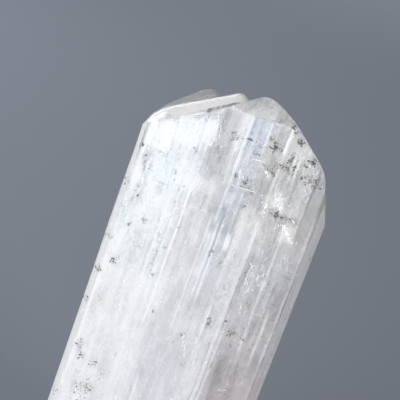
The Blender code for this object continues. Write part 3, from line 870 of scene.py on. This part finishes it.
def crystal_mesh():
    """The striated prism below its growth layers, as a mesh in metres."""
    prism = prism_object()
    layers = [make_layer(name, layer) for name, layer in LAYERS.items()]
    for layer in layers[1:]:
        boolean(layers[0], "UNION", layer)
    boolean(prism, "INTERSECT", layers[0])
    bpy.context.view_layer.update()
    graph = bpy.context.evaluated_depsgraph_get()
    mesh = bpy.data.meshes.new_from_object(prism.evaluated_get(graph))
    for helper in layers + [prism]:
        bpy.data.objects.remove(helper)
    bm = bmesh.new()
    bm.from_mesh(mesh)
    bmesh.ops.remove_doubles(bm, verts=bm.verts, dist=1e-4)
    round_edges(bm)
    bmesh.ops.scale(bm, vec=(MM, MM, MM), verts=bm.verts)
    bmesh.ops.recalc_face_normals(bm, faces=bm.faces)
    return to_mesh(bm, "crystal")


# ---- what was placed by eye on the picture


def upright(px, py):
    """U and V of a pixel of the picture."""
    right, down = px - PICK_ZERO[0], py - PICK_ZERO[1]
    return right * math.cos(ROLL) + down * math.sin(ROLL), down * math.cos(ROLL) - right * math.sin(ROLL)


def on_front(u, v):
    """X and Z in millimetres of what U and V show on the front face, to the tenth that a pick is good for."""
    middle_u, middle_v = upright(IMAGE_PX / 2, IMAGE_PX / 2)
    distance = DISTANCE / MM
    focal = distance * PX_PER_MM
    right, down = (u - middle_u) / focal, (v - middle_v) / focal
    reach = distance * math.cos(ELEVATION) / (math.cos(ELEVATION) - math.sin(ELEVATION) * down)
    fall = math.sin(ELEVATION) + math.cos(ELEVATION) * down
    x = TARGET.x / MM + reach * right
    z = TARGET.z / MM + distance * math.sin(ELEVATION) - reach * fall
    return round(x, 1), round(z, 1)


def picked_flash(u0, v0, u1, v1, width):
    """A flash as X and Z of its two ends and its width, in millimetres."""
    return on_front(u0, v0) + on_front(u1, v1) + (round(width * PIXEL_X, 2),)


def picked_cluster(u, v, count, spread_u, spread_v, size, kind):
    """A cluster of grains as X, Z, their number, its spread along X and Z, a grain's size and its kind."""
    spread = round(spread_u * PIXEL_X, 2), round(spread_v * PIXEL_Z, 2)
    return on_front(u, v) + (count,) + spread + (round(size * PIXEL_X, 3), kind)


def all_flashes():
    """All flashes, in the order in which their flakes are drawn."""
    picked = [picked_flash(*row) for row in PICKED_FLASHES]
    return picked + list(PLACED_FLASHES) + [picked_flash(*LAST_FLASH)]


def all_clusters():
    """All clusters of grains, in the order in which their grains are drawn."""
    picked = [picked_cluster(*row) for row in UPRIGHT_CLUSTERS]
    return picked + [picked_cluster(*upright(*row[:2]), *row[2:]) for row in PICTURE_CLUSTERS]


# ---- how milky and how stained each part is


def cluster_stains(x, z):
    """The stains round the clusters of grains: what they add to red, green and blue at each point."""
    total = np.zeros((len(x), 3))
    for middle_x, middle_z, _, spread_x, spread_z, _, kind in all_clusters():
        away = ((x - middle_x) / spread_x) ** 2 + ((z - middle_z) / spread_z) ** 2
        near = np.exp(-away * STAIN_FALL)
        total += near[:, None] * CLUSTER_STAINS[kind]
    return total


def surface_zones(mesh):
    """Stores for every point how milky, stained and mottled the crystal is there, and the light and shade
    painted into its milk and colour.
    """
    count = len(mesh.vertices)
    points = np.zeros(count * 3)
    mesh.vertices.foreach_get("co", points)
    x, y, z = (points.reshape(-1, 3) / MM).T
    strips = np.zeros(count)
    mesh.attributes["strip_milk"].data.foreach_get("value", strips)
    front = np.clip((FRONT_END - y) / END_FADE, 0, 1)
    tinted = np.clip((np.where(x > STRIP_X, STRIP_END, FRONT_END) - y) / END_FADE, 0, 1)
    top = np.where(y > BAND_FRONT, soft_box(z, TOP_FOOT, LENGTH + SPARE, TOP_SOFT), 0)
    threads = [
        (at - wide / 2, at + wide / 2, low, high, LINE_SOFT_X, LINE_SOFT_Z, amount)
        for at, wide, low, high, amount in LINES
    ]
    # Threads of painted highlight and shade along the growth steps, added to the milk and the colour
    lines = zone_sum(x, z, threads) * front
    milk = BASE_MILK + strips + np.where(front > 0, zone_sum(x, z, MILK_ZONES), ELSEWHERE_MILK)
    milk += top * TOP_MILK
    milk += lines * LINE_MILK
    detail = np.maximum(BASE_DETAIL + zone_sum(x, z, DETAIL_ZONES) * tinted, LEAST_DETAIL)
    detail += top * TOP_DETAIL
    for name, values in (("milk", milk), ("detail", detail)):
        layer = mesh.attributes.new(name, "FLOAT", "POINT")
        layer.data.foreach_set("value", values)
    stain_and_painted_light = np.ones((count, 4))
    for i in range(3):
        zones = [zone[:6] + (zone[6][i],) for zone in STAIN_AND_LIGHT_ZONES]
        stain_and_painted_light[:, i] += zone_sum(x, z, zones) * tinted
    stain_and_painted_light[:, :3] += cluster_stains(x, z) * tinted[:, None] + lines[:, None] * LINE_SHADE
    layer = mesh.attributes.new("stain_and_painted_light", "FLOAT_COLOR", "POINT")
    layer.data.foreach_set("color", np.clip(stain_and_painted_light, *STAIN_AND_LIGHT_RANGE).ravel())


# ---- materials


class Nodes:
    """Builds a material's node tree with few words."""

    BEND, BENDS_PER_MM = 0.35, 1.6  # how far a crack wanders in millimetres, and how often

    def __init__(self, name):
        """Starts the material with its shader, its output and the place on the crystal."""
        self.material = bpy.data.materials.new(name)
        self.material.use_nodes = True
        self.tree = self.material.node_tree
        self.shader = self.tree.nodes["Principled BSDF"]
        self.output = self.tree.nodes["Material Output"]
        self.place = self.tree.nodes.new("ShaderNodeTexCoord").outputs["Object"]

    def new(self, kind, inputs=(), **settings):
        """Adds a node; inputs are pairs of a socket's name or number and a value or another node's output."""
        node = self.tree.nodes.new(kind)
        for name, value in settings.items():
            setattr(node, name, value)
        for socket, value in inputs:
            self.put(node.inputs[socket], value)
        return node

    def put(self, socket, value):
        """Sets a socket to a value, or links another node's output to it."""
        if isinstance(value, bpy.types.NodeSocket):
            self.tree.links.new(value, socket)
        else:
            socket.default_value = value

    def scaled(self, place, per_mm):
        """A place in units of which the given number fit in a millimetre along X, Y and Z."""
        scale = tuple(v / MM for v in per_mm)
        return self.new("ShaderNodeMapping", (("Vector", place), ("Scale", scale))).outputs[0]

    def noise(self, per_mm, detail=2.0, roughness=0.5, distortion=0.0):
        """Noise whose features have the given number per millimetre along X, Y and Z."""
        texture = self.new(
            "ShaderNodeTexNoise",
            (
                ("Vector", self.scaled(self.place, per_mm)),
                ("Scale", 1.0),
                ("Detail", detail),
                ("Roughness", roughness),
                ("Distortion", distortion),
            ),
        )
        return texture.outputs["Fac"]

    def math(self, operation, first, second=0.0, third=0.0):
        """One step of arithmetic on values or outputs."""
        inputs = ((0, first), (1, second), (2, third))
        return self.new("ShaderNodeMath", inputs, operation=operation).outputs[0]

    def remap(self, value, low, high, out_low=0.0, out_high=1.0):
        """Maps a range of values onto another one, smoothly and clamped."""
        inputs = (("Value", value), (1, low), (2, high), (3, out_low), (4, out_high))
        return self.new("ShaderNodeMapRange", inputs, interpolation_type="SMOOTHSTEP").outputs[0]

    def mix(self, share, first, second, blend="MIX"):
        """Blends two colours."""
        inputs = (("Factor", share), (6, first), (7, second))
        node = self.new("ShaderNodeMix", inputs, data_type="RGBA", blend_type=blend)
        return node.outputs[2]

    def inside(self, box):
        """One within a box given by its ends along X, Y and Z in millimetres, and zero outside it."""
        axes = self.new("ShaderNodeSeparateXYZ", (("Vector", self.place),)).outputs
        within = 1.0
        for axis, (low, high) in zip(axes, box):
            share = self.math("MULTIPLY", self.math("GREATER_THAN", axis, low * MM), within)
            within = self.math("MULTIPLY", self.math("LESS_THAN", axis, high * MM), share)
        return within

    def cracks(self, per_mm, width):
        """Thin broken lines between cells, with the given number of cells per millimetre along X, Y and Z."""
        inputs = (("Vector", self.place), ("Scale", self.BENDS_PER_MM / MM), ("Detail", 2.0))
        bent = self.new("ShaderNodeTexNoise", inputs).outputs["Color"]
        inputs = ((0, bent), (1, (self.BEND * MM,) * 3))
        shift = self.new("ShaderNodeVectorMath", inputs, operation="MULTIPLY").outputs[0]
        inputs = ((0, self.place), (1, shift))
        place = self.new("ShaderNodeVectorMath", inputs, operation="ADD").outputs[0]
        inputs = (("Vector", self.scaled(place, per_mm)), ("Scale", 1.0))
        texture = self.new("ShaderNodeTexVoronoi", inputs, feature="DISTANCE_TO_EDGE")
        line = self.remap(texture.outputs["Distance"], 0.0, width, 1.0, 0.0)
        return self.math("MULTIPLY", line, self.remap(self.noise((0.9, 0.9, 0.6), 2.0), 0.45, 0.6))

    def attribute(self, name, output="Fac"):
        """What the mesh stores under a name at each point."""
        return self.new("ShaderNodeAttribute", attribute_name=name).outputs[output]

    def cells(self, per_mm):
        """Blocks of a random value each, with the given number per millimetre along X, Y and Z."""
        inputs = (("Vector", self.scaled(self.place, per_mm)), ("Scale", 1.0))
        texture = self.new("ShaderNodeTexVoronoi", inputs, distance="CHEBYCHEV")
        return self.new("ShaderNodeSeparateColor", ((0, texture.outputs["Color"]),)).outputs[0]


def crystal_material():
    """One glass that runs from clear to milky, mottled inside, streaked lengthwise and cracked."""
    n = Nodes("danburite")
    streaks = n.noise((1.9, 1.9, 0.16), 5.0, 0.62, 0.3)
    bands = n.noise((0.6, 0.6, 0.05), 2.0)
    cloud = n.noise((0.45, 0.45, 0.22), 4.0, 0.6, 0.8)
    mottle = n.noise((2.6, 2.6, 1.6), 5.0, 0.7, 0.5)
    flecks = n.noise((4.2, 4.2, 3.0), 3.0, 0.6)
    blocks = n.cells((0.7, 0.7, 0.14))
    detail = n.attribute("detail")
    milk = n.attribute("milk")
    for pattern, strength in ((streaks, 0.17), (bands, 0.12), (cloud, 0.24)):
        milk = n.math("MULTIPLY_ADD", n.math("SUBTRACT", pattern, 0.5), strength, milk)
    uneven = n.math("MULTIPLY", n.math("SUBTRACT", cloud, 0.5), 0.7)
    uneven = n.math("MULTIPLY_ADD", n.math("SUBTRACT", mottle, 0.5), 1.3, uneven)
    uneven = n.math("MULTIPLY_ADD", n.math("SUBTRACT", blocks, 0.5), 0.3, uneven)
    uneven = n.math("MULTIPLY_ADD", n.remap(flecks, 0.58, 0.72), 0.5, uneven)
    uneven = n.math("MULTIPLY_ADD", n.cracks((0.8, 0.8, 0.4), 0.045), 0.6, uneven)
    uneven = n.math("MULTIPLY_ADD", n.cracks((1.3, 1.3, 0.9), 0.05), -0.6, uneven)
    milk = n.math("MULTIPLY_ADD", uneven, detail, milk)
    # Painted shade in the groove behind the crest: clearer glass in patches, with grey painted over it
    groove_shade = n.math("MULTIPLY", n.inside(GROOVE), n.remap(mottle, 0.42, 0.58, 0.1, 1.0))
    milk = n.math("MULTIPLY_ADD", groove_shade, GROOVE_SHADE_MILK, milk)
    clear = (0.72, 0.715, 0.72, 1.0)
    white = (0.955, 0.96, 0.97, 1.0)
    colour = n.mix(n.remap(milk, 0.1, 0.9), clear, white)
    # The stain colour carries the stains round the grains together with the painted sheen, light and step
    # shade
    colour = n.mix(1.0, colour, n.attribute("stain_and_painted_light", "Color"), "MULTIPLY")
    colour = n.mix(groove_shade, colour, GROOVE_SHADE_COLOUR)
    n.put(n.shader.inputs["Base Color"], colour)
    n.put(n.shader.inputs["Transmission Weight"], n.remap(milk, 0.0, 1.0, 0.90, 0.12))
    n.put(n.shader.inputs["Roughness"], n.remap(cloud, 0.3, 0.7, 0.14, 0.30))
    n.put(n.shader.inputs["IOR"], IOR)
    n.put(n.shader.inputs["Subsurface Weight"], 0.75)
    n.put(n.shader.inputs["Subsurface Radius"], (1.0, 0.98, 0.95))
    n.put(n.shader.inputs["Subsurface Scale"], 2.2 * MM)
    relief = n.math("MULTIPLY_ADD", mottle, 0.7, streaks)
    bump = n.new("ShaderNodeBump", (("Height", relief), ("Strength", 0.16), ("Distance", 0.05 * MM)))
    n.put(n.shader.inputs["Normal"], bump.outputs[0])
    absorption = n.new("ShaderNodeVolumeAbsorption", (("Color", (0.90, 0.84, 0.82, 1.0)), ("Density", 8.0)))
    n.put(n.output.inputs["Volume"], absorption.outputs["Volume"])
    return n.material


def flash_material():
    """White cleavage, glassy in places."""
    n = Nodes("cleavage_flash")
    flecks = n.noise((5.0, 5.0, 5.0), 3.0, 0.6)
    colour = n.mix(n.remap(flecks, 0.35, 0.6), (0.88, 0.90, 0.92, 1.0), (1.0, 1.0, 1.0, 1.0))
    n.put(n.shader.inputs["Base Color"], colour)
    n.put(n.shader.inputs["Roughness"], n.remap(flecks, 0.3, 0.7, 0.10, 0.35))
    n.put(n.shader.inputs["IOR"], IOR)
    n.put(n.shader.inputs["Transmission Weight"], n.remap(flecks, 0.3, 0.55, 0.4, 0.0))
    return n.material


def grain_material():
    """Dark minerals in the colours of the three kinds."""
    n = Nodes("dark_grains")
    kind = n.attribute("kind")
    speckle = n.noise((6.0, 6.0, 6.0), 2.0)
    grey = n.mix(speckle, (0.055, 0.057, 0.055, 1.0), (0.15, 0.15, 0.14, 1.0))
    olive = n.mix(n.remap(kind, 0.0, 1.0), grey, (0.12, 0.115, 0.092, 1.0))
    colour = n.mix(n.remap(kind, 1.0, 2.0), olive, (0.115, 0.088, 0.08, 1.0))
    n.put(n.shader.inputs["Base Color"], colour)
    n.put(n.shader.inputs["Roughness"], n.remap(speckle, 0.3, 0.7, 0.4, 0.8))
    return n.material


# ---- grains and flashes on the crystal


def front_spot(tree, x, z):
    """Where the view through a point of the front face meets the crystal, and the normal there, in metres."""
    look = Vector((0, math.cos(ELEVATION), -math.sin(ELEVATION)))
    eye = TARGET - look * DISTANCE
    ray = (Vector((x * MM, FRONT_Y, z * MM)) - eye).normalized()
    spot, normal, _, _ = tree.ray_cast(eye, ray)
    return spot, normal


def add_grain(bm, kinds, spot, normal, size, kind, rng):
    """A small angular grain, mostly sunk in the surface."""
    made = bmesh.ops.create_icosphere(bm, subdivisions=1, radius=size * MM)["verts"]
    squash = Matrix.Diagonal((rng.uniform(*GRAIN_SQUASH), rng.uniform(*GRAIN_SQUASH), GRAIN_FLATNESS, 1.0))
    turn = normal.to_track_quat("Z", "Y").to_matrix().to_4x4()
    place = Matrix.Translation(spot - normal * size * MM * GRAIN_SINK) @ turn @ squash
    for vert in made:
        vert.co = place @ (vert.co * rng.uniform(*GRAIN_ROUGHNESS))
        vert[kinds] = kind


def add_clusters(bm, kinds, tree, rng):
    """The clusters of grains on the front."""
    for x, z, count, spread_x, spread_z, size, kind in all_clusters():
        scatter_x, scatter_z = spread_x * GRAIN_SCATTER, spread_z * GRAIN_SCATTER
        for _ in range(round(count * GRAIN_SHARE)):
            spot, normal = front_spot(tree, rng.gauss(x, scatter_x), rng.gauss(z, scatter_z))
            if spot:
                add_grain(bm, kinds, spot, normal, size * rng.choice(GRAIN_SIZES), kind, rng)


def add_strays(bm, kinds, tree, rng):
    """Small groups of grains on the other faces."""
    for _ in range(STRAY_GROUPS):
        angle, height = rng.uniform(*STRAY_BEARINGS), rng.uniform(*STRAY_HEIGHTS) * MM
        outward = bearing(angle).to_3d()
        aside = Vector((rng.uniform(-STRAY_X, STRAY_X), rng.uniform(-STRAY_Y, STRAY_Y), 0))
        start = outward * STRAY_START * MM + aside * MM
        start.z = height
        spot, _, _, _ = tree.ray_cast(start, -outward)
        if spot:
            for _ in range(rng.choice(STRAY_COUNTS)):
                near = spot + Vector([rng.gauss(0, STRAY_SCATTER) for _ in range(3)]) * MM
                place, normal, _, _ = tree.find_nearest(near)
                size, kind = rng.uniform(*STRAY_SIZES), rng.choice(STRAY_KINDS)
                add_grain(bm, kinds, place, normal, size, kind, rng)


def make_grains(tree):
    """All the dark grains as one mesh, with the kind of each stored at its points."""
    rng = random.Random(5)
    bm = bmesh.new()
    kinds = bm.verts.layers.float.new("kind")
    add_clusters(bm, kinds, tree, rng)
    add_strays(bm, kinds, tree, rng)
    mesh = to_mesh(bm, "dark_grains")
    mesh.materials.append(grain_material())
    grains = link("dark_grains", mesh)
    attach(grains, "root")


def add_flake(bm, tree, middle, length, width, turn, rng):
    """A thin angular flake that lies on the surface round a point (X, Z) of the front, in millimetres."""
    count = rng.choice((4, 5, 6))
    outline = []
    for k in range(count):
        angle = math.tau * (k + rng.uniform(-0.25, 0.25)) / count
        reach = rng.uniform(0.6, 1.0) / 2
        offset = Vector((math.sin(angle) * width * reach, math.cos(angle) * length * reach))
        offset.rotate(Matrix.Rotation(turn, 2))
        spot, normal = front_spot(tree, middle.x + offset.x, middle.y + offset.y)
        if spot:
            outline.append((spot, normal))
    top = [bm.verts.new(spot + normal * FLAKE_HEIGHT * MM) for spot, normal in outline]
    foot = [bm.verts.new(spot - normal * FLAKE_ROOT * MM) for spot, normal in outline]
    bm.faces.new(top)
    bm.faces.new(reversed(foot))
    for i in range(len(top)):
        j = (i + 1) % len(top)
        bm.faces.new((top[j], top[i], foot[i], foot[j]))


def add_flash(bm, tree, start, end, width, rng):
    """A splintered row of flakes between two points of the front."""
    start, end = Vector(start), Vector(end)
    along = end - start
    turn = math.atan2(-along.x, along.y)
    for _ in range(max(2, round(along.length / FLAKE_SPACING))):
        middle = start + along * rng.random()
        middle.x += rng.gauss(0, width * FLAKE_SCATTER)
        length, size = rng.uniform(*FLAKE_LENGTHS), rng.uniform(*FLAKE_WIDTHS) * width
        turned = turn + rng.uniform(-FLAKE_TURN, FLAKE_TURN)
        add_flake(bm, tree, middle, max(length, size), size, turned, rng)


def make_flashes(tree):
    """All the cleavage flashes as one mesh."""
    rng = random.Random(12)
    bm = bmesh.new()
    for x0, z0, x1, z1, width in all_flashes():
        add_flash(bm, tree, (x0, z0), (x1, z1), width, rng)
    bmesh.ops.recalc_face_normals(bm, faces=bm.faces)
    mesh = to_mesh(bm, "cleavage_flashes")
    mesh.materials.append(flash_material())
    flashes = link("cleavage_flashes", mesh)
    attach(flashes, "root")


def make_crystal():
    """The crystal's piece, and a tree for finding places on its surface."""
    mesh = crystal_mesh()
    surface_zones(mesh)
    mesh.materials.append(crystal_material())
    tree = BVHTree.FromPolygons([v.co for v in mesh.vertices], [p.vertices for p in mesh.polygons])
    crystal = link("crystal", mesh)
    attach(crystal, "root")
    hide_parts(CRYSTAL)
    return tree


# ---- the scene


make_camera()
make_studio()
make_floor()
surface = make_crystal()
make_grains(surface)
make_flashes(surface)
bpy.context.scene.view_settings.view_transform = "Standard"
